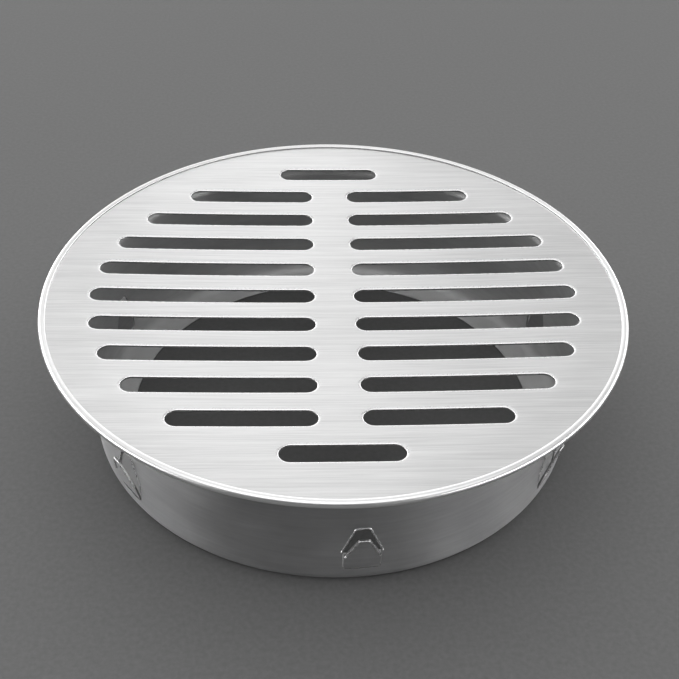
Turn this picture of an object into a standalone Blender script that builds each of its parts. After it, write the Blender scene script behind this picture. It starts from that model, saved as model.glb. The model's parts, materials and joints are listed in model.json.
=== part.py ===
"""Round floor drain grate: a slotted cover plate clamped in the rim of a pressed collar, with spring tabs.

The collar drops into the top of a drain pipe. Six tongues lanced out of its wall grip the pipe's bore,
and each one hinges at its lower end. Units are metres, +Z is up, and the origin is the centre of the
bottom face, where the collar's lip stands on a table.
"""
import math

import bmesh
import bpy
from mathutils import Matrix, Vector

MM = 0.001

# Driving dimensions
RIM_RADIUS = 88.0 * MM
OVERALL_HEIGHT = 46.4 * MM
SHEET = 0.5 * MM
PLATE_THICKNESS = 0.8 * MM
GAP = 0.3 * MM

# Cover plate
DISH_DEPTH = 1.5 * MM
DISH_RADIUS = 76.5 * MM
PLATE_EDGE_GAP = 0.8 * MM
DISH_RINGS = 5

# Slots: the rows' outer ends follow an ellipse, and the whole field sits a little off centre
SLOT_WIDTH = 6.35 * MM
SLOT_PITCH = 13.73 * MM
SLOT_ROWS_EACH_WAY = 5
SLOT_FIELD_X = 70.4 * MM
SLOT_FIELD_Y = 69.93 * MM
SLOT_FIELD_SHIFT = -0.5 * MM
BRIDGE_HALF_WIDTH = 5.95 * MM
SLOT_END_STEPS = 8

# Rim and collar
RIM_BEAD_WIDTH = 2.1 * MM
COLLAR_RADIUS = 75.1 * MM
TOP_BEND_RADIUS = 3.75 * MM
BOTTOM_BEND_RADIUS = 4.25 * MM
LIP_HOLE_RADIUS = 64.1 * MM

# Spring tabs: angles are measured anticlockwise from the front, seen from above
TAB_ANGLES_DEG = (4.4, 56.0, 110.0, 177.0, 248.0, 306.8)
TAB_LEAN_DEG = 12.5
TAB_HINGE_DROP = 38.8 * MM
WINDOW_HEIGHT = 15.8 * MM
WINDOW_WIDTH = 10.7 * MM
WINDOW_SHOULDER = 7.0 * MM
WINDOW_TOP_WIDTH = 3.4 * MM
WINDOW_CORNER_RADIUS = 0.9 * MM

# Fineness
TURN_STEPS = 72
BEND_STEPS = 4
CORNER_STEPS = 3
MERGE_DISTANCE = 0.005 * MM
CUT_MARGIN = 3.0 * MM

# Finishes: colour and roughness
BRUSHED_STEEL = ((0.62, 0.62, 0.62), 0.32)
POLISHED_STEEL = ((0.55, 0.55, 0.56), 0.14)
TAB_STEEL = ((0.5, 0.5, 0.51), 0.2)

# Heights worked out from the above
BEAD_RADIUS = (PLATE_THICKNESS + 2 * GAP + 2 * SHEET) / 2
RIM_MID_Z = OVERALL_HEIGHT - BEAD_RADIUS
FLANGE_Z = RIM_MID_Z - (BEAD_RADIUS - SHEET / 2)
WALL_RADIUS = COLLAR_RADIUS - SHEET / 2
WALL_TOP_Z = FLANGE_Z - TOP_BEND_RADIUS
WALL_BOTTOM_Z = SHEET / 2 + BOTTOM_BEND_RADIUS
TAB_HINGE_Z = RIM_MID_Z - TAB_HINGE_DROP


def clear_scene():
    for old in list(bpy.data.objects):
        bpy.data.objects.remove(old, do_unlink=True)


def new_collection(name):
    collection = bpy.data.collections.new(name)
    bpy.context.scene.collection.children.link(collection)
    return collection


def make_material(name, colour, roughness):
    material = bpy.data.materials.new(name)
    material.use_nodes = True
    shader = material.node_tree.nodes["Principled BSDF"]
    shader.inputs["Base Color"].default_value = (*colour, 1.0)
    shader.inputs["Roughness"].default_value = roughness
    shader.inputs["Metallic"].default_value = 1.0
    return material


def add_object(name, data, collection, material=None):
    obj = bpy.data.objects.new(name, data)
    collection.objects.link(obj)
    if material:
        data.materials.append(material)
    return obj


def hide_cutter(obj):
    obj.hide_render = True
    obj.display_type = "WIRE"


def arc(centre, radius, start_deg, end_deg, steps):
    """Points on an arc in the (radius, height) plane, both ends included."""
    points = []
    for step in range(steps + 1):
        angle = math.radians(start_deg + (end_deg - start_deg) * step / steps)
        points.append((centre[0] + radius * math.cos(angle), centre[1] + radius * math.sin(angle)))
    return points


def turned(name, profile, collection, material):
    """Turns a line of (radius, height) points about Z."""
    mesh = bpy.data.meshes.new(name)
    edges = [(i, i + 1) for i in range(len(profile) - 1)]
    mesh.from_pydata([(r, 0.0, z) for r, z in profile], edges, [])
    obj = add_object(name, mesh, collection, material)
    screw = obj.modifiers.new("turn", "SCREW")
    screw.steps = TURN_STEPS
    screw.render_steps = TURN_STEPS
    screw.use_merge_vertices = True
    screw.merge_threshold = MERGE_DISTANCE
    screw.use_smooth_shade = True
    return obj


def turned_sheet(name, profile, collection, material):
    """Turns the middle line of a sheet and gives it the sheet's thickness."""
    obj = turned(name, profile, collection, material)
    solidify = obj.modifiers.new("sheet", "SOLIDIFY")
    solidify.thickness = SHEET
    solidify.offset = 0.0
    solidify.use_even_offset = True
    return obj


def cut(obj, cutter, operation="DIFFERENCE"):
    boolean = obj.modifiers.new("cut", "BOOLEAN")
    boolean.object = cutter
    boolean.operation = operation
    boolean.solver = "EXACT"


def evaluated_mesh(obj):
    graph = bpy.context.evaluated_depsgraph_get()
    mesh = bpy.data.meshes.new_from_object(obj.evaluated_get(graph))
    bm = bmesh.new()
    bm.from_mesh(mesh)
    bmesh.ops.remove_doubles(bm, verts=bm.verts, dist=MERGE_DISTANCE)
    bm.to_mesh(mesh)
    bm.free()
    return mesh


def extruded_outlines(name, outlines, half_depth, collection):
    """A mesh of flat closed outlines, in local XY, extruded both ways along local Z."""
    curve = bpy.data.curves.new(name, "CURVE")
    curve.dimensions = "2D"
    curve.fill_mode = "BOTH"
    curve.extrude = half_depth
    for outline in outlines:
        spline = curve.splines.new("POLY")
        spline.points.add(len(outline) - 1)
        for point, (x, y) in zip(spline.points, outline):
            point.co = (x, y, 0.0, 1.0)
        spline.use_cyclic_u = True
    drawn = add_object(name, curve, collection)
    mesh = evaluated_mesh(drawn)
    bpy.data.objects.remove(drawn, do_unlink=True)
    return mesh


def dish_height(radius):
    """How far the plate's face lies below its flat edge."""
    if radius >= DISH_RADIUS:
        return 0.0
    return -DISH_DEPTH * (1 - (radius / DISH_RADIUS) ** 2)


def plate_profile():
    top_z = RIM_MID_Z + PLATE_THICKNESS / 2
    radii = [DISH_RADIUS * ring / DISH_RINGS for ring in range(DISH_RINGS + 1)]
    radii.append(RIM_RADIUS - SHEET - PLATE_EDGE_GAP)
    top = [(r, top_z + dish_height(r)) for r in radii]
    bottom = [(r, z - PLATE_THICKNESS) for r, z in reversed(top)]
    return top + bottom


def slot_outline(start_x, end_x, y):
    """A slot with round ends between two end centres."""
    radius = SLOT_WIDTH / 2
    right = arc((end_x, y), radius, -90, 90, SLOT_END_STEPS)
    left = arc((start_x, y), radius, 90, 270, SLOT_END_STEPS)
    return right + left


def slot_outlines():
    """Rows of slots whose ends follow an ellipse: one in each outermost row, two in the others."""
    inner_x = BRIDGE_HALF_WIDTH + SLOT_WIDTH / 2
    outlines = []
    for row in range(-SLOT_ROWS_EACH_WAY, SLOT_ROWS_EACH_WAY + 1):
        y = row * SLOT_PITCH
        outer_x = SLOT_FIELD_X * math.sqrt(1 - (y / SLOT_FIELD_Y) ** 2)
        if abs(row) == SLOT_ROWS_EACH_WAY:
            outlines.append(slot_outline(-outer_x, outer_x, y))
        else:
            outlines.append(slot_outline(-outer_x, -inner_x, y))
            outlines.append(slot_outline(inner_x, outer_x, y))
    return outlines


def make_grate_plate(parts, cutters, material):
    plate = turned("grate_plate", plate_profile(), parts, material)
    mesh = extruded_outlines("slots", slot_outlines(), CUT_MARGIN, cutters)
    slots = add_object("slots", mesh, cutters)
    slots.location = (0.0, SLOT_FIELD_SHIFT, RIM_MID_Z)
    hide_cutter(slots)
    cut(plate, slots)


def rim_profile():
    """From the bead's inner edge over the plate's edge, back under it, and round into the wall."""
    bead_r = RIM_RADIUS - BEAD_RADIUS
    middle = BEAD_RADIUS - SHEET / 2
    bend_centre = (WALL_RADIUS + TOP_BEND_RADIUS, FLANGE_Z - TOP_BEND_RADIUS)
    points = [(RIM_RADIUS - RIM_BEAD_WIDTH, RIM_MID_Z + middle)]
    points += arc((bead_r, RIM_MID_Z), middle, 90, -90, 2 * BEND_STEPS)
    points += arc(bend_centre, TOP_BEND_RADIUS, 90, 180, BEND_STEPS)
    return points


def make_rim_flange(parts, material):
    turned_sheet("rim_flange", rim_profile(), parts, material)


def wall_profile():
    return [(WALL_RADIUS, WALL_TOP_Z - GAP), (WALL_RADIUS, WALL_BOTTOM_Z + GAP)]


def make_bottom_lip(parts, material):
    bend_centre = (WALL_RADIUS - BOTTOM_BEND_RADIUS, WALL_BOTTOM_Z)
    profile = arc(bend_centre, BOTTOM_BEND_RADIUS, 0, -90, BEND_STEPS)
    profile.append((LIP_HOLE_RADIUS, SHEET / 2))
    turned_sheet("bottom_lip", profile, parts, material)


def window_corners():
    """The window's corners as (across, up) from the middle of its hinge line, anticlockwise."""
    half, top = WINDOW_WIDTH / 2, WINDOW_TOP_WIDTH / 2
    right = [(half, 0.0), (half, WINDOW_SHOULDER), (top, WINDOW_HEIGHT)]
    left = [(-across, up) for across, up in reversed(right)]
    return right + left


def offset_corners(corners, distance):
    """Moves each edge of a convex outline outwards by the distance."""
    count = len(corners)
    moved = []
    for i in range(count):
        here = Vector(corners[i])
        before = (here - Vector(corners[i - 1])).normalized()
        after = (Vector(corners[(i + 1) % count]) - here).normalized()
        out_before = Vector((before.y, -before.x))
        out_after = Vector((after.y, -after.x))
        half_way = out_before + out_after
        moved.append(here + half_way * (distance / (1 + out_before.dot(out_after))))
    return [(point.x, point.y) for point in moved]


def rounded(corners, radius):
    """Rounds each corner of a convex, anticlockwise outline with an arc."""
    count = len(corners)
    points = []
    for i in range(count):
        here = Vector(corners[i])
        back = (Vector(corners[i - 1]) - here).normalized()
        on = (Vector(corners[(i + 1) % count]) - here).normalized()
        half_angle = back.angle(on) / 2
        centre = here + (back + on).normalized() * (radius / math.sin(half_angle))
        start = math.degrees(math.atan2(back.x, -back.y))
        turn = 180 - math.degrees(2 * half_angle)
        points += arc(centre, radius, start, start + turn, CORNER_STEPS)
    return points


def prism_across_wall(name, outline, collection):
    """An (across, up) outline extruded through the wall at +X, with its hinge line at the tabs' height."""
    mesh = extruded_outlines(name, [outline], CUT_MARGIN, collection)
    # local X runs across (+Y), local Y runs up (+Z), so local Z points out of the wall (+X)
    axes = Matrix(((0, 0, 1, 0), (1, 0, 0, 0), (0, 1, 0, 0), (0, 0, 0, 1)))
    place = Matrix.Translation((WALL_RADIUS, 0.0, TAB_HINGE_Z))
    mesh.transform(place @ axes)
    return mesh


def tab_turns():
    """Each tab's angle about Z, from +X."""
    return [math.radians(angle - 90) for angle in TAB_ANGLES_DEG]


def make_collar_wall(parts, cutters, material):
    wall = turned_sheet("collar_wall", wall_profile(), parts, material)
    outline = rounded(window_corners(), WINDOW_CORNER_RADIUS)
    one_window = prism_across_wall("window", outline, cutters)
    bm = bmesh.new()
    for turn in tab_turns():
        copy = one_window.copy()
        copy.transform(Matrix.Rotation(turn, 4, "Z"))
        bm.from_mesh(copy)
        bpy.data.meshes.remove(copy)
    windows_mesh = bpy.data.meshes.new("windows")
    bm.to_mesh(windows_mesh)
    bm.free()
    windows = add_object("windows", windows_mesh, cutters)
    hide_cutter(windows)
    cut(wall, windows)


def make_tab_mesh(cutters, material):
    """One tongue, curved like the wall it is cut from, with its hinge line at the origin."""
    blank = turned_sheet("tab_blank", wall_profile(), cutters, material)
    corners = offset_corners(window_corners(), -GAP)
    prism = prism_across_wall("tab_cutter", rounded(corners, WINDOW_CORNER_RADIUS - GAP), cutters)
    cutter = add_object("tab_cutter", prism, cutters)
    cut(blank, cutter, "INTERSECT")
    mesh = evaluated_mesh(blank)
    mesh.name = "spring_tab"
    bpy.data.objects.remove(blank, do_unlink=True)
    bpy.data.objects.remove(cutter, do_unlink=True)
    mesh.transform(Matrix.Translation((-WALL_RADIUS, 0.0, -TAB_HINGE_Z - GAP)))
    return mesh


def make_spring_tabs(parts, cutters, material):
    mesh = make_tab_mesh(cutters, material)
    for number, turn in enumerate(tab_turns(), start=1):
        hinge = bpy.data.objects.new(f"tab_hinge_{number}", None)
        parts.objects.link(hinge)
        hinge.location = (
            WALL_RADIUS * math.cos(turn),
            WALL_RADIUS * math.sin(turn),
            TAB_HINGE_Z + GAP,
        )
        hinge.rotation_euler.z = turn
        tab = bpy.data.objects.new(f"spring_tab_{number}", mesh)
        parts.objects.link(tab)
        tab.parent = hinge
        tab.rotation_euler.y = math.radians(TAB_LEAN_DEG)


def main():
    clear_scene()
    parts = new_collection("floor_drain_grate")
    cutters = new_collection("cutters")
    brushed = make_material("brushed_steel", *BRUSHED_STEEL)
    polished = make_material("polished_steel", *POLISHED_STEEL)
    tab_steel = make_material("tab_steel", *TAB_STEEL)
    make_grate_plate(parts, cutters, brushed)
    make_rim_flange(parts, polished)
    make_collar_wall(parts, cutters, polished)
    make_bottom_lip(parts, polished)
    make_spring_tabs(parts, cutters, tab_steel)


main()
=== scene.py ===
"""Looks of the floor drain grate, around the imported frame.

The three bent nodes of the body are shown as one turned sheet, the plate and the tongues get rolled and
sheared edges, and every surface gets its own steel. Lengths are in metres.
"""
import json
import math

import bmesh
import bpy
from mathutils import Euler, Matrix, Vector
from mathutils.geometry import delaunay_2d_cdt


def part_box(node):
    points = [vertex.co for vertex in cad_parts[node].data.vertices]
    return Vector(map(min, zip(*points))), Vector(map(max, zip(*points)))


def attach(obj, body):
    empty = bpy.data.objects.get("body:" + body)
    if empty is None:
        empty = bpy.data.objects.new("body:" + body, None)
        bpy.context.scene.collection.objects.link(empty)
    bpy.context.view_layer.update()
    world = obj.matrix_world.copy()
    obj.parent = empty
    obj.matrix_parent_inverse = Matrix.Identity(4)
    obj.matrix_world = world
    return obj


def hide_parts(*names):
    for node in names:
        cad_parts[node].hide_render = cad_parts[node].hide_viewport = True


MM = 0.001

# Sheet and plate
SHEET = 0.5 * MM
PLATE_THICKNESS = 0.8 * MM
DISH_DEPTH = 1.5 * MM
DISH_RADIUS = 76.5 * MM

# Slots
SLOT_WIDTH = 6.35 * MM
SLOT_PITCH = 13.73 * MM
SLOT_ROWS_EACH_WAY = 5
SLOT_FIELD_X = 70.4 * MM
SLOT_FIELD_Y = 69.93 * MM
SLOT_FIELD_SHIFT = -0.5 * MM
BRIDGE_HALF_WIDTH = 5.95 * MM
ROLL_WIDTH = 0.75 * MM
ROLL_DEPTH = 0.32 * MM

# Pressed body
BEAD_FLAT = 0.85 * MM
BEAD_TUCK = 0.22 * MM  # how far the bead's free edge dips towards the plate
TOP_BEND_RADIUS = 3.75 * MM
BOTTOM_BEND_RADIUS = 4.25 * MM
LIP_HOLE_RADIUS = 64.1 * MM
POLISHED_BAND = 3.0 * MM  # the rim is polished from this far inside the plate's edge
FACING_IN = 0.1  # a face whose normal points inwards or up by more than this is on the inside, which is painted lighter as painted light

# Spring tabs and their windows
WINDOW_HEIGHT = 15.8 * MM
WINDOW_WIDTH = 10.7 * MM
WINDOW_SHOULDER = 7.0 * MM
WINDOW_TOP_WIDTH = 3.4 * MM
WINDOW_CORNER_RADIUS = 0.9 * MM
TAB_CLEARANCE = 0.3 * MM
WINDOW_CUT_REACH = 3.0 * MM
TAB_LEAN_DEG = 12.5
EDGE_ROUNDING = 0.08 * MM

# The burr along a window's or a tongue's cut
BURR_RADIUS = 0.28 * MM
BURR_UNEVENNESS = 0.15
BURR_WAVE = 2.3  # radians from one point of the burr to the next
BURR_START = 1.5 * MM  # above the hinge line
BURR_INSET = BURR_RADIUS * (1 + BURR_UNEVENNESS)

# A sheet's materials, by their number on its mesh
FACE, SHEARED, ROLLED = 0, 1, 2

# Fineness
TURN_STEPS = 288
BEAD_STEPS = 16
BEND_STEPS = 12
FREE_EDGE_STEPS = 8
SLOT_END_STEPS = 14
ROLL_STEPS = 6
WINDOW_CORNER_STEPS = 5
TONGUE_CORNER_STEPS = 6
BURR_SIDES = 8
PLATE_SPACING = 2.0 * MM
TONGUE_SPACING = 1.2 * MM
BURR_SPACING = 0.9 * MM
OUTLINE_CLEARANCE = 0.35  # share of the spacing kept free beside an outline
MERGE_DISTANCE = 0.002 * MM
SHARP_DEG = 40
TONGUE_SHARP_DEG = 30
BURR_SHARP_DEG = 60

# Finishes
PATTERN_RANGE = (0.3, 0.7)  # where nearly all of a noise's values lie
RADIAL_GRAIN = {"direction_type": "RADIAL", "axis": "Z"}
MAPPED_GRAIN = {"direction_type": "UV_MAP", "uv_map": "across_grain"}

# Floor and lamp
FLOOR_SIZE = 6.0
FLOOR_DROP = 0.02 * MM
LAMP_PLACE = (-0.03, 0.95, 0.80)
LAMP_AIM = (0.0, 0.0, 0.04)
LAMP_WIDTH = 0.3
LAMP_HEIGHT = 0.6
LAMP_POWER = 0.12

# The world's light: each ramp is (start, end, value at the start, value at the end). Headway and sideways
# are the Y and X of a direction's level heading, and height is the direction's own Z.
BACK_BY_HEADWAY = (-0.3, 0.4, 0.01, 1.0)
BACK_BY_HEIGHT = (0.85, 0.45, 0.3, 1.0)
BAND_LEAN_RIGHT = 0.2
BAND_BY_LEANT_HEADWAY = (-0.93, -0.5, 0.0, 4.6)
BAND_BY_HEIGHT = (0.38, 0.1, 0.0, 1.0)
BAND_DIMMED_BEHIND = (0.85, 0.98, 1.0, 0.4)
BAND_DIMMED_RIGHT = (0.55, 0.95, 1.0, 0.95)
FRONT_BY_HEADWAY = (0.2, -0.4, 0.0, 1.0)
FRONT_BY_HEIGHT = (0.4, 0.85, 0.15, 1.5)
ABOVE_BY_HEIGHT = (0.58, 0.78, 0.0, 0.88)
ALL_DIMMED_RIGHT = (-0.15, 0.4, 1.0, 0.82)

# Camera
CAMERA_AZIMUTH_DEG = -2.944
CAMERA_ELEVATION_DEG = 39.135
CAMERA_ROLL_DEG = 1.486
CAMERA_DISTANCE = 350.23 * MM
CAMERA_RIGHT = 1.554 * MM
CAMERA_UP = -14.526 * MM
LENS_MM = 61.199
PRINT_GAMMA = 0.8  # the photo's contrast


# ---------------------------------------------------------------- frame

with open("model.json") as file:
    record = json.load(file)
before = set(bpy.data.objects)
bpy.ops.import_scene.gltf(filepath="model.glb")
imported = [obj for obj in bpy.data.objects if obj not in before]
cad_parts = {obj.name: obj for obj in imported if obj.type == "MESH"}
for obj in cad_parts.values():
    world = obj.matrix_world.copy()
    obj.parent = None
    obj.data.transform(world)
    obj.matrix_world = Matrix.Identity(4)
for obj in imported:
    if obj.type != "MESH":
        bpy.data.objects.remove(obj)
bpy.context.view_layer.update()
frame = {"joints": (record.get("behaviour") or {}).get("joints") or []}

TOP_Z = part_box("rim_flange")[1][2]
RIM_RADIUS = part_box("rim_flange")[1][0]
COLLAR_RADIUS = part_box("collar_wall")[1][0]
BEAD_RADIUS = TOP_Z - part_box("grate_plate")[1][2] + PLATE_THICKNESS / 2
RIM_MID_Z = TOP_Z - BEAD_RADIUS
PLATE_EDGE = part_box("grate_plate")[1][0]
FLANGE_Z = RIM_MID_Z - (BEAD_RADIUS - SHEET / 2)
WALL_RADIUS = COLLAR_RADIUS - SHEET / 2


# ---------------------------------------------------------------- shapes

def arc(centre, radius, start_deg, end_deg, steps):
    """Points on a circle from one angle to another, both ends included."""
    points = []
    for step in range(steps + 1):
        angle = math.radians(start_deg + (end_deg - start_deg) * step / steps)
        points.append((centre[0] + radius * math.cos(angle), centre[1] + radius * math.sin(angle)))
    return points


def divided(start, end, spacing):
    """Points from start towards end, without the end itself."""
    start, end = Vector(start), Vector(end)
    count = max(1, round((end - start).length / spacing))
    return [tuple(start.lerp(end, i / count)) for i in range(count)]


def mesh_object(name, bm):
    """Cleans a bmesh, frees it and links it to the scene as an object."""
    bmesh.ops.remove_doubles(bm, verts=bm.verts, dist=MERGE_DISTANCE)
    bmesh.ops.recalc_face_normals(bm, faces=bm.faces)
    mesh = bpy.data.meshes.new(name)
    bm.to_mesh(mesh)
    bm.free()
    obj = bpy.data.objects.new(name, mesh)
    bpy.context.scene.collection.objects.link(obj)
    return obj


def smooth_with_sharp_edges(obj, angle_deg):
    obj.data.shade_smooth()
    obj.data.set_sharp_from_angle(angle=math.radians(angle_deg))


def map_across_grain(obj, flatten):
    """A texture map whose first axis runs across the grain, so that the gloss spreads across it."""
    layer = obj.data.uv_layers.new(name="across_grain")
    for loop in obj.data.loops:
        layer.data[loop.index].uv = flatten(obj.data.vertices[loop.vertex_index].co)


def add_materials(obj, materials, *names):
    for name in names:
        obj.data.materials.append(materials[name])


def apply_modifiers(obj):
    graph = bpy.context.evaluated_depsgraph_get()
    mesh = bpy.data.meshes.new_from_object(obj.evaluated_get(graph))
    obj.modifiers.clear()
    obj.data = mesh


def fill_region(loops, keep, spacing):
    """Triangles over a flat region bounded by loops, with extra points inside for a smooth surface.

    keep says whether a point lies in the region, at least a margin away from its edges.
    """
    points, edges = [], []
    for loop in loops:
        first = len(points)
        points += [Vector(point) for point in loop]
        edges += [(first + i, first + (i + 1) % len(loop)) for i in range(len(loop))]
    reach = max(max(abs(p.x), abs(p.y)) for p in points)
    count = int(reach / spacing) + 1
    for row in range(-count, count + 1):
        for column in range(-count, count + 1):
            spot = Vector(((column + 0.5 * (row % 2)) * spacing, row * spacing))
            if keep(spot, OUTLINE_CLEARANCE * spacing):
                points.append(spot)
    found = delaunay_2d_cdt(points, edges, [], 0, MERGE_DISTANCE)
    triangles = []
    for face in found[2]:
        middle = sum((found[0][i] for i in face), Vector((0.0, 0.0))) / len(face)
        if keep(middle, 0.0):
            triangles.append(face)
    return found[0], triangles


def build_sheet(name, outlines, keep, edge, place, spacing):
    """A sheet with shaped edges: each outline is a function of the distance into the metal.

    edge lists (inset, height, material) from the underside to the top face. place maps (x, y, height)
    into space. Both flat sides use the material FACE.
    """
    bm = bmesh.new()
    for outline in outlines:
        rings = []
        for inset, height, _ in edge:
            rings.append([bm.verts.new(place(x, y, height)) for x, y in outline(inset)])
        for lower, upper, (_, _, slot) in zip(rings, rings[1:], edge[1:]):
            for i in range(len(lower)):
                j = (i + 1) % len(lower)
                face = bm.faces.new((lower[i], lower[j], upper[j], upper[i]))
                face.material_index = slot
    for inset, height, _ in (edge[0], edge[-1]):
        loops = [outline(inset) for outline in outlines]
        points, triangles = fill_region(loops, lambda p, margin: keep(p, inset + margin), spacing)
        verts = [bm.verts.new(place(p.x, p.y, height)) for p in points]
        for triangle in triangles:
            bm.faces.new([verts[i] for i in triangle]).material_index = FACE
    return mesh_object(name, bm)


# ---------------------------------------------------------------- grate plate

def slot_spans():
    """(start_x, end_x, y) between the round ends' centres, for every slot."""
    inner_x = BRIDGE_HALF_WIDTH + SLOT_WIDTH / 2
    spans = []
    for row in range(-SLOT_ROWS_EACH_WAY, SLOT_ROWS_EACH_WAY + 1):
        from_middle = row * SLOT_PITCH
        outer_x = SLOT_FIELD_X * math.sqrt(1 - (from_middle / SLOT_FIELD_Y) ** 2)
        y = from_middle + SLOT_FIELD_SHIFT
        if abs(row) == SLOT_ROWS_EACH_WAY:
            spans.append((-outer_x, outer_x, y))
        else:
            spans.append((-outer_x, -inner_x, y))
            spans.append((inner_x, outer_x, y))
    return spans


def slot_outline(span):
    """The slot's outline as a function of the distance into the metal around it."""
    start_x, end_x, y = span

    def outline(inset):
        radius = SLOT_WIDTH / 2 + inset
        points = arc((end_x, y), radius, -90, 90, SLOT_END_STEPS)[:-1]
        points += divided((end_x, y + radius), (start_x, y + radius), PLATE_SPACING)
        points += arc((start_x, y), radius, 90, 270, SLOT_END_STEPS)[:-1]
        points += divided((start_x, y - radius), (end_x, y - radius), PLATE_SPACING)
        return points

    return outline


def plate_edge_outline(inset):
    return arc((0, 0), PLATE_EDGE - inset, 0, 360, TURN_STEPS)[:-1]


def on_plate(spans):
    def keep(point, margin):
        if point.length > PLATE_EDGE - margin:
            return False
        for start_x, end_x, y in spans:
            across = max(start_x - point.x, 0, point.x - end_x)
            if math.hypot(across, point.y - y) < SLOT_WIDTH / 2 + margin:
                return False
        return True

    return keep


def dish(radius):
    """How far the plate lies below its flat edge, as a negative height."""
    if radius >= DISH_RADIUS:
        return 0.0
    return -DISH_DEPTH * (1 - (radius / DISH_RADIUS) ** 2)


def place_on_plate(x, y, height):
    base = RIM_MID_Z - PLATE_THICKNESS / 2
    return Vector((x, y, base + dish(math.hypot(x, y)) + height))


def plate_edge():
    """A small break at the bottom, a sheared wall and a rolled top corner."""
    edge = [(EDGE_ROUNDING, 0.0, SHEARED), (0.0, EDGE_ROUNDING, SHEARED)]
    for step in range(ROLL_STEPS + 1):
        angle = math.radians(90 * step / ROLL_STEPS)
        inset = ROLL_WIDTH * (1 - math.cos(angle))
        height = PLATE_THICKNESS - ROLL_DEPTH * (1 - math.sin(angle))
        edge.append((inset, height, SHEARED if step == 0 else ROLLED))
    return edge


def make_plate(materials):
    spans = slot_spans()
    outlines = [plate_edge_outline] + [slot_outline(span) for span in spans]
    keep = on_plate(spans)
    plate = build_sheet("brushed_grate", outlines, keep, plate_edge(), place_on_plate, PLATE_SPACING)
    smooth_with_sharp_edges(plate, SHARP_DEG)
    map_across_grain(plate, lambda spot: (spot.y, spot.x))
    add_materials(plate, materials, "brushed_steel", "sheared_edge", "rolled_edge")
    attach(plate, "grate")
    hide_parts("grate_plate")


# ---------------------------------------------------------------- pressed body

def body_centreline():
    """(radius, height) along the middle of the sheet, from the bead's inner edge to the lip's hole."""
    middle = BEAD_RADIUS - SHEET / 2
    bead_r = RIM_RADIUS - BEAD_RADIUS
    top_bend = (WALL_RADIUS + TOP_BEND_RADIUS, FLANGE_Z - TOP_BEND_RADIUS)
    bottom_bend = (WALL_RADIUS - BOTTOM_BEND_RADIUS, SHEET / 2 + BOTTOM_BEND_RADIUS)
    points = [(bead_r - BEAD_FLAT + SHEET / 2, RIM_MID_Z + middle - BEAD_TUCK)]
    points += arc((bead_r, RIM_MID_Z), middle, 90, -90, BEAD_STEPS)
    points += arc(top_bend, TOP_BEND_RADIUS, 90, 180, BEND_STEPS)
    points += arc(bottom_bend, BOTTOM_BEND_RADIUS, 0, -90, BEND_STEPS)
    points.append((LIP_HOLE_RADIUS + SHEET / 2, SHEET / 2))
    return [Vector(point) for point in points]


def round_end(end, side):
    """A half circle about the end of a sheet's middle line, without its own two ends."""
    turns = [math.pi * step / FREE_EDGE_STEPS for step in range(1, FREE_EDGE_STEPS)]
    return [end + Matrix.Rotation(turn, 2) @ side for turn in turns]


def sheet_section(line):
    """The closed outline of a sheet around its middle line, with round free edges."""
    sides = []
    for i, point in enumerate(line):
        before = line[max(i - 1, 0)]
        after = line[min(i + 1, len(line) - 1)]
        along = (after - before).normalized()
        sides.append(Vector((along.y, -along.x)) * (SHEET / 2))
    one_face = [point + side for point, side in zip(line, sides)]
    other_face = [point - side for point, side in zip(line, sides)]
    far_end = round_end(line[-1], sides[-1])
    near_end = round_end(line[0], -sides[0])
    return one_face + far_end + other_face[::-1] + near_end


def window_corners():
    """The window's corners, (across, up) from its bottom's middle, in turn from the bottom right."""
    half, top = WINDOW_WIDTH / 2, WINDOW_TOP_WIDTH / 2
    right = [(half, 0.0), (half, WINDOW_SHOULDER), (top, WINDOW_HEIGHT)]
    return right + [(-across, up) for across, up in reversed(right)]


def inset_corners(corners, distance):
    """The corners of the same shape with every side moved inwards."""
    moved = []
    for i, corner in enumerate(corners):
        here = Vector(corner)
        before = (here - Vector(corners[i - 1])).normalized()
        after = (Vector(corners[(i + 1) % len(corners)]) - here).normalized()
        out_before = Vector((before.y, -before.x))
        out_after = Vector((after.y, -after.x))
        moved.append(here - (out_before + out_after) * (distance / (1 + out_before.dot(out_after))))
    return [tuple(point) for point in moved]


def rounded(corners, radius, steps):
    """The outline through the corners, with an arc in place of each."""
    points = []
    for i, corner in enumerate(corners):
        here = Vector(corner)
        back = (Vector(corners[i - 1]) - here).normalized()
        on = (Vector(corners[(i + 1) % len(corners)]) - here).normalized()
        half_angle = back.angle(on) / 2
        centre = here + (back + on).normalized() * (radius / math.sin(half_angle))
        start = math.degrees(math.atan2(back.x, -back.y))
        points += arc(centre, radius, start, start + 180 - math.degrees(2 * half_angle), steps)
    return points


def hinge_frames():
    """A matrix for each tab: X out of the wall, Y across, Z up, with its origin on the hinge line."""
    frames = {}
    for joint in frame["joints"]:
        spot = Vector(joint["pos_m"])
        angle = math.atan2(spot.y, spot.x)
        frames[joint["child"]] = Matrix.Translation(spot) @ Matrix.Rotation(angle, 4, "Z")
    return frames


def window_cutter(frames):
    """One object with a plug at each window, to cut them all at once."""
    bm = bmesh.new()
    outline = rounded(window_corners(), WINDOW_CORNER_RADIUS, WINDOW_CORNER_STEPS)
    for matrix in frames.values():
        loops = []
        for depth in (-WINDOW_CUT_REACH, WINDOW_CUT_REACH):
            spots = [matrix @ Vector((depth, across, up - TAB_CLEARANCE)) for across, up in outline]
            loops.append([bm.verts.new(spot) for spot in spots])
        inner, outer = loops
        bm.faces.new(inner)
        bm.faces.new(outer)
        for i in range(len(inner)):
            j = (i + 1) % len(inner)
            bm.faces.new((inner[i], inner[j], outer[j], outer[i]))
    return mesh_object("window_cutter", bm)


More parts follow.
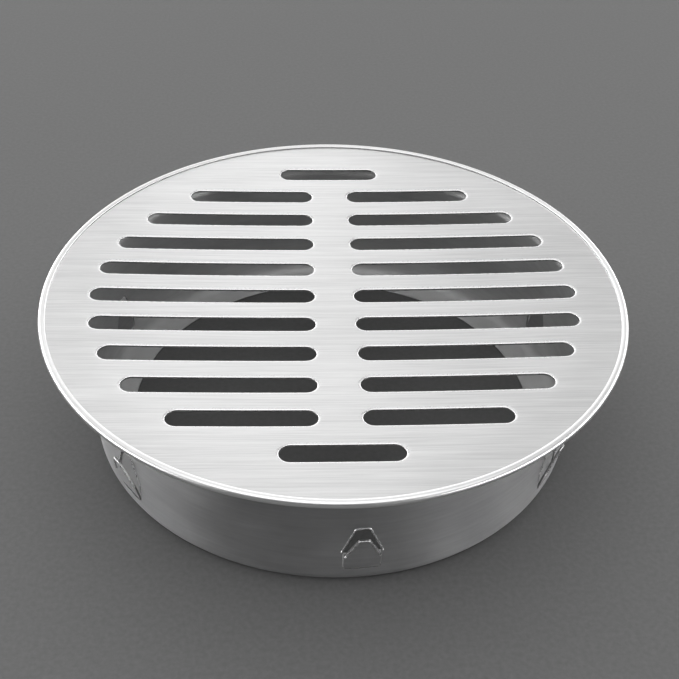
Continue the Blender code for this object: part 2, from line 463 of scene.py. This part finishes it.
def make_body(materials, frames):
    """Turns the sheet's section about the axis, cuts the windows, and gives each side its steel."""
    section = sheet_section(body_centreline())
    mesh = bpy.data.meshes.new("pressed_body")
    edges = [(i, (i + 1) % len(section)) for i in range(len(section))]
    mesh.from_pydata([(r, 0.0, z) for r, z in section], edges, [])
    body = bpy.data.objects.new("pressed_body", mesh)
    bpy.context.scene.collection.objects.link(body)
    add_materials(body, materials, "drawn_steel")
    screw = body.modifiers.new("turn", "SCREW")
    screw.steps = TURN_STEPS
    screw.render_steps = TURN_STEPS
    screw.use_merge_vertices = True
    screw.merge_threshold = MERGE_DISTANCE
    cutter = window_cutter(frames)
    add_materials(cutter, materials, "sheared_edge")
    boolean = body.modifiers.new("windows", "BOOLEAN")
    boolean.object = cutter
    boolean.solver = "EXACT"
    boolean.material_mode = "TRANSFER"
    apply_modifiers(body)
    bpy.data.objects.remove(cutter)
    add_materials(body, materials, "polished_steel", "inner_steel")
    slots = list(body.data.materials)
    drawn, polished, inner = (
        slots.index(materials[name]) for name in ("drawn_steel", "polished_steel", "inner_steel")
    )
    for face in body.data.polygons:
        radius = math.hypot(face.center.x, face.center.y)
        inward = -(face.normal.x * face.center.x + face.normal.y * face.center.y) / radius
        if face.center.z > FLANGE_Z - SHEET and radius > PLATE_EDGE - POLISHED_BAND:
            face.material_index = polished
        # the inside and the lip's top get the lighter inner steel: painted light for the shade inside the
        # collar
        elif face.material_index == drawn and inward + face.normal.z > FACING_IN:
            face.material_index = inner
    smooth_with_sharp_edges(body, SHARP_DEG)
    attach(body, "grate")
    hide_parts("rim_flange", "collar_wall", "bottom_lip")


# ---------------------------------------------------------------- spring tabs

def burr_points(outline):
    """The part of a window's or tongue's outline above its hinge line, from the right side to the left."""
    sides = [point for point in outline if point[1] > BURR_START]
    first = max(range(len(sides)), key=lambda i: sides[i][0] - sides[i][1])
    return sides[first:] + sides[:first]


def add_burr(bm, spots):
    """A thin uneven thread of turned-up metal along a sheared edge."""
    rings = []
    for i, spot in enumerate(spots):
        along = (spots[min(i + 1, len(spots) - 1)] - spots[max(i - 1, 0)]).normalized()
        side = along.orthogonal().normalized()
        radius = BURR_RADIUS * (1 + BURR_UNEVENNESS * math.sin(BURR_WAVE * i))
        ring = []
        for step in range(BURR_SIDES):
            turn = Matrix.Rotation(2 * math.pi * step / BURR_SIDES, 3, along)
            ring.append(bm.verts.new(spot + radius * (turn @ side)))
        rings.append(ring)
    for lower, upper in zip(rings, rings[1:]):
        nearest = min(range(BURR_SIDES), key=lambda k: (upper[k].co - lower[0].co).length)
        matched = upper[nearest:] + upper[:nearest]
        for k in range(BURR_SIDES):
            following = (k + 1) % BURR_SIDES
            bm.faces.new((lower[k], lower[following], matched[following], matched[k]))
    bm.faces.new(rings[0])
    bm.faces.new(rings[-1])


def divided_open(points, spacing):
    """Points along an open line, with its own points among them."""
    spots = []
    for start, end in zip(points, points[1:]):
        spots += divided(start, end, spacing)
    return spots + [points[-1]]


def make_burr(name, matrix, outline, materials):
    bm = bmesh.new()
    flat = divided_open(burr_points(outline), BURR_SPACING)
    add_burr(bm, [matrix @ place_on_wall(across, up, SHEET) for across, up in flat])
    burr = mesh_object(name, bm)
    smooth_with_sharp_edges(burr, BURR_SHARP_DEG)
    add_materials(burr, materials, "rolled_edge")
    return burr


def tongue_outline(inset):
    corners = inset_corners(window_corners(), TAB_CLEARANCE + inset)
    return rounded(corners, WINDOW_CORNER_RADIUS - TAB_CLEARANCE, TONGUE_CORNER_STEPS)


def on_tongue(point, margin):
    corners = inset_corners(window_corners(), TAB_CLEARANCE + margin)
    for i, corner in enumerate(corners):
        here = Vector(corner)
        along = Vector(corners[(i + 1) % len(corners)]) - here
        if along.cross(point - here) < 0:
            return False
    return True


def place_on_wall(across, up, height):
    """Wraps the flat tongue round the collar's own curve, with its hinge line at the origin."""
    radius = WALL_RADIUS - SHEET / 2 + height
    angle = across / WALL_RADIUS
    return Vector((radius * math.cos(angle) - WALL_RADIUS, radius * math.sin(angle), up - TAB_CLEARANCE))


def make_tab(number, matrix, materials):
    edge = [
        (EDGE_ROUNDING, 0.0, SHEARED),
        (0.0, EDGE_ROUNDING, SHEARED),
        (0.0, SHEET - EDGE_ROUNDING, SHEARED),
        (EDGE_ROUNDING, SHEET, SHEARED),
    ]
    leaning = matrix @ Matrix.Rotation(math.radians(TAB_LEAN_DEG), 4, "Y")
    name = f"tongue_{number}"
    tab = build_sheet(name, [tongue_outline], on_tongue, edge, place_on_wall, TONGUE_SPACING)
    smooth_with_sharp_edges(tab, TONGUE_SHARP_DEG)
    map_across_grain(tab, lambda spot: (spot.z, spot.y))
    tab.data.transform(leaning)
    add_materials(tab, materials, "tongue_steel", "sheared_edge")
    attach(tab, f"tab_{number}")
    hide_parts(f"spring_tab_{number}")
    # each burr's middle stands back from the cut by its greatest radius, so that the two never meet
    tongue_burr = make_burr(f"tongue_burr_{number}", leaning, tongue_outline(BURR_INSET), materials)
    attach(tongue_burr, f"tab_{number}")
    around = inset_corners(window_corners(), -BURR_INSET)
    beside_window = rounded(around, WINDOW_CORNER_RADIUS, WINDOW_CORNER_STEPS)
    window_burr = make_burr(f"window_burr_{number}", matrix, beside_window, materials)
    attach(window_burr, "grate")


# ---------------------------------------------------------------- materials

class NodeTree:
    """A short way to add and join the nodes of a material or a world."""

    def __init__(self, owner):
        owner.use_nodes = True
        self.owner = owner
        self.tree = owner.node_tree

    def add(self, kind, **settings):
        node = self.tree.nodes.new(kind)
        for key, value in settings.items():
            setattr(node, key, value)
        return node

    def join(self, source, target):
        self.tree.links.new(source, target)

    def ramp(self, value, start, end, low, high, interpolation="LINEAR"):
        node = self.add("ShaderNodeMapRange", interpolation_type=interpolation)
        node.inputs["From Min"].default_value = start
        node.inputs["From Max"].default_value = end
        node.inputs["To Min"].default_value = low
        node.inputs["To Max"].default_value = high
        self.join(value, node.inputs["Value"])
        return node.outputs["Result"]


class Finish(NodeTree):
    """A surface whose colour, roughness and bump all follow one pattern of noise."""

    def __init__(self, name, metallic=1.0):
        super().__init__(bpy.data.materials.new(name))
        self.shader = self.tree.nodes["Principled BSDF"]
        self.shader.inputs["Metallic"].default_value = metallic

    def noise(self, waves, detail=4.0, roughness=0.6):
        """Noise in object space, with so many waves per metre along each axis."""
        coordinates = self.add("ShaderNodeTexCoord")
        mapping = self.add("ShaderNodeMapping")
        mapping.inputs["Scale"].default_value = waves
        texture = self.add("ShaderNodeTexNoise")
        texture.inputs["Scale"].default_value = 1.0
        texture.inputs["Detail"].default_value = detail
        texture.inputs["Roughness"].default_value = roughness
        self.join(coordinates.outputs["Object"], mapping.inputs["Vector"])
        self.join(mapping.outputs["Vector"], texture.inputs["Vector"])
        return texture.outputs["Fac"]

    def blend(self, first, second, share):
        """A mixture of two patterns; share is the second one's."""
        node = self.add("ShaderNodeMix")
        node.inputs["Factor"].default_value = share
        self.join(first, node.inputs["A"])
        self.join(second, node.inputs["B"])
        return node.outputs["Result"]

    def paint(self, pattern, dark, light, contrast=PATTERN_RANGE):
        """Greys between dark and light; contrast is the part of the pattern's range that they span."""
        colours = self.add("ShaderNodeValToRGB")
        colours.color_ramp.elements[0].color = (*dark, 1.0)
        colours.color_ramp.elements[1].color = (*light, 1.0)
        self.join(self.ramp(pattern, *contrast, 0.0, 1.0), colours.inputs["Fac"])
        self.join(colours.outputs["Color"], self.shader.inputs["Base Color"])

    def gloss(self, pattern, smooth, rough):
        self.join(self.ramp(pattern, *PATTERN_RANGE, smooth, rough), self.shader.inputs["Roughness"])

    def bump(self, pattern, depth, strength):
        node = self.add("ShaderNodeBump")
        node.inputs["Distance"].default_value = depth
        node.inputs["Strength"].default_value = strength
        self.join(pattern, node.inputs["Height"])
        self.join(node.outputs["Normal"], self.shader.inputs["Normal"])

    def stretch_gloss(self, amount, rotation, grain):
        """Spreads the gloss across the grain, as brushing and drawing do."""
        self.shader.inputs["Anisotropic"].default_value = amount
        self.shader.inputs["Anisotropic Rotation"].default_value = rotation
        tangent = self.add("ShaderNodeTangent", **grain)
        self.join(tangent.outputs["Tangent"], self.shader.inputs["Tangent"])


def brushed_steel():
    """The plate's face: hairlines along the slots, in streaks and faint clouds."""
    finish = Finish("brushed_steel")
    hair = finish.noise(waves=(38, 2400, 38), detail=5.0, roughness=0.7)
    bands = finish.noise(waves=(13, 520, 13))
    clouds = finish.noise(waves=(16, 22, 16), detail=2.0)
    pattern = finish.blend(finish.blend(hair, bands, share=0.3), clouds, share=0.25)
    finish.paint(pattern, dark=(0.78, 0.78, 0.78), light=(1.0, 1.0, 1.0), contrast=(0.36, 0.64))
    finish.gloss(pattern, smooth=0.26, rough=0.40)
    finish.bump(pattern, depth=0.004 * MM, strength=0.6)
    finish.stretch_gloss(amount=0.75, rotation=0.0, grain=MAPPED_GRAIN)
    return finish.owner


def rolled_edge_steel():
    """The slots' rolled corners and the burrs."""
    finish = Finish("rolled_edge")
    marks = finish.noise(waves=(900, 900, 900), detail=3.0)
    finish.paint(marks, dark=(0.92, 0.92, 0.92), light=(1.0, 1.0, 1.0))
    finish.gloss(marks, smooth=0.22, rough=0.34)
    return finish.owner


def sheared_edge_steel():
    """Cut walls, with the fine upright tears of shearing."""
    finish = Finish("sheared_edge")
    marks = finish.noise(waves=(1800, 1800, 260), detail=5.0)
    finish.paint(marks, dark=(0.42, 0.42, 0.42), light=(0.66, 0.66, 0.66))
    finish.gloss(marks, smooth=0.28, rough=0.5)
    finish.bump(marks, depth=0.01 * MM, strength=0.6)
    return finish.owner


def drawn_steel(name, rotation, grain):
    """The collar's outside: its grain runs round the collar, so its gloss spreads up and down."""
    finish = Finish(name)
    lines = finish.noise(waves=(60, 60, 900))
    clouds = finish.noise(waves=(45, 45, 45))
    pattern = finish.blend(lines, clouds, share=0.5)
    finish.paint(pattern, dark=(0.52, 0.52, 0.525), light=(0.66, 0.66, 0.665))
    finish.gloss(pattern, smooth=0.38, rough=0.48)
    finish.bump(pattern, depth=0.003 * MM, strength=0.5)
    finish.stretch_gloss(amount=0.85, rotation=rotation, grain=grain)
    return finish.owner


def inner_steel():
    """The collar's inside and the lip's top, duller than the outside, and painted far lighter than the
    outside of the same sheet: painted light for the shaded inside.
    """
    finish = Finish("inner_steel")
    lines = finish.noise(waves=(70, 70, 700))
    clouds = finish.noise(waves=(50, 50, 50))
    pattern = finish.blend(lines, clouds, share=0.5)
    # painted light: much lighter greys than the outside of the same sheet, to brighten the inside, which
    # lies in shade
    finish.paint(pattern, dark=(0.84, 0.84, 0.84), light=(0.96, 0.96, 0.96))
    finish.gloss(pattern, smooth=0.50, rough=0.58)
    finish.bump(pattern, depth=0.004 * MM, strength=0.5)
    return finish.owner


def polished_steel():
    """The rim's bead."""
    finish = Finish("polished_steel")
    marks = finish.noise(waves=(160, 160, 700))
    finish.paint(marks, dark=(0.95, 0.95, 0.95), light=(1.0, 1.0, 1.0))
    finish.gloss(marks, smooth=0.28, rough=0.36)
    return finish.owner


def floor_material():
    finish = Finish("floor", metallic=0.0)
    grain = finish.noise(waves=(700, 700, 700))
    finish.paint(grain, dark=(0.21, 0.21, 0.21), light=(0.25, 0.25, 0.25))
    finish.gloss(grain, smooth=0.55, rough=0.7)
    return finish.owner


def make_materials():
    return {
        "brushed_steel": brushed_steel(),
        "rolled_edge": rolled_edge_steel(),
        "sheared_edge": sheared_edge_steel(),
        "drawn_steel": drawn_steel("drawn_steel", 0.25, RADIAL_GRAIN),
        # a radial grain would turn about each tongue's own middle, not the collar's
        "tongue_steel": drawn_steel("tongue_steel", 0.0, MAPPED_GRAIN),
        "polished_steel": polished_steel(),
        # the inside's steel is painted lighter than the outside's, as painted light for the shaded inside
        "inner_steel": inner_steel(),
    }


# ---------------------------------------------------------------- stage, light and camera

def make_floor():
    bpy.ops.mesh.primitive_plane_add(size=FLOOR_SIZE, location=(0, 0, -FLOOR_DROP))
    floor = bpy.context.object
    floor.name = "floor"
    floor.data.materials.append(floor_material())


def make_lamp():
    """A soft box behind, which gives the floor and the rim a little direction."""
    light = bpy.data.lights.new("back_light", "AREA")
    light.shape = "RECTANGLE"
    light.size = LAMP_WIDTH
    light.size_y = LAMP_HEIGHT
    light.energy = LAMP_POWER
    lamp = bpy.data.objects.new("back_light", light)
    bpy.context.scene.collection.objects.link(lamp)
    lamp.location = LAMP_PLACE
    lamp.rotation_euler = (Vector(LAMP_AIM) - Vector(LAMP_PLACE)).to_track_quat("-Z", "Y").to_euler()


class Studio(NodeTree):
    """The world, with its light worked out from each direction."""

    def __init__(self, name):
        super().__init__(bpy.data.worlds.new(name))
        direction = self.add("ShaderNodeTexCoord").outputs["Generated"]
        level = self.add("ShaderNodeVectorMath", operation="MULTIPLY")
        level.inputs[1].default_value = (1.0, 1.0, 0.0)
        heading = self.add("ShaderNodeVectorMath", operation="NORMALIZE")
        self.join(direction, level.inputs[0])
        self.join(level.outputs["Vector"], heading.inputs[0])
        self.direction = self.parts(direction)
        self.heading = self.parts(heading.outputs["Vector"])

    def parts(self, vector):
        split = self.add("ShaderNodeSeparateXYZ")
        self.join(vector, split.inputs["Vector"])
        return split.outputs

    def soft_ramp(self, value, limits):
        return self.ramp(value, *limits, interpolation="SMOOTHSTEP")

    def number(self, value):
        node = self.add("ShaderNodeValue")
        node.outputs["Value"].default_value = value
        return node.outputs["Value"]

    def math(self, operation, *values):
        node = self.add("ShaderNodeMath", operation=operation)
        for value, socket in zip(values, node.inputs):
            self.join(value, socket)
        return node.outputs["Value"]

    def product(self, first, *others):
        for other in others:
            first = self.math("MULTIPLY", first, other)
        return first

    def brightest(self, first, *others):
        for other in others:
            first = self.math("MAXIMUM", first, other)
        return first


def make_world():
    """A soft studio: bright behind, at the sides and overhead, and dim low down in front."""
    studio = Studio("studio")
    headway = studio.heading["Y"]
    sideways = studio.heading["X"]
    height = studio.direction["Z"]
    # tall and soft behind, which the plate mirrors in the photo's view
    back = studio.product(
        studio.soft_ramp(headway, BACK_BY_HEADWAY),
        studio.soft_ramp(height, BACK_BY_HEIGHT),
    )
    # a low bright band round the back and sides, reaching further forward on the right
    leant_headway = studio.math("MULTIPLY_ADD", sideways, studio.number(BAND_LEAN_RIGHT), headway)
    band = studio.product(
        studio.soft_ramp(leant_headway, BAND_BY_LEANT_HEADWAY),
        studio.soft_ramp(height, BAND_BY_HEIGHT),
        studio.soft_ramp(headway, BAND_DIMMED_BEHIND),
        studio.soft_ramp(sideways, BAND_DIMMED_RIGHT),
    )
    # high in front, for the rolled edges
    front = studio.product(
        studio.soft_ramp(headway, FRONT_BY_HEADWAY),
        studio.soft_ramp(height, FRONT_BY_HEIGHT),
    )
    above = studio.soft_ramp(height, ABOVE_BY_HEIGHT)
    strength = studio.product(
        studio.brightest(back, band, front, above),
        studio.soft_ramp(studio.direction["X"], ALL_DIMMED_RIGHT),
    )
    background = studio.tree.nodes["Background"]
    background.inputs["Color"].default_value = (1.0, 1.0, 1.0, 1.0)
    studio.join(strength, background.inputs["Strength"])
    bpy.context.scene.world = studio.owner


def make_camera():
    """The photo's camera, as fitted to the rim's outline and the slots' edges."""
    azimuth = math.radians(CAMERA_AZIMUTH_DEG)
    elevation = math.radians(CAMERA_ELEVATION_DEG)
    level = Euler((math.pi / 2 - elevation, 0.0, azimuth)).to_matrix()
    turned = level @ Matrix.Rotation(math.radians(CAMERA_ROLL_DEG), 3, "Z")
    aim = Vector((0.0, 0.0, RIM_MID_Z))
    data = bpy.data.cameras.new("camera")
    data.lens = LENS_MM
    camera = bpy.data.objects.new("camera", data)
    bpy.context.scene.collection.objects.link(camera)
    offset = turned @ Vector((CAMERA_RIGHT, CAMERA_UP, CAMERA_DISTANCE))
    camera.matrix_world = Matrix.Translation(aim + offset) @ turned.to_4x4()
    bpy.context.scene.camera = camera


materials = make_materials()
frames = hinge_frames()
make_plate(materials)
make_body(materials, frames)
for body_name, hinge_frame in frames.items():
    make_tab(int(body_name.split("_")[1]), hinge_frame, materials)
make_floor()
make_lamp()
make_world()
make_camera()
bpy.context.scene.view_settings.view_transform = "Standard"
bpy.context.scene.view_settings.gamma = PRINT_GAMMA
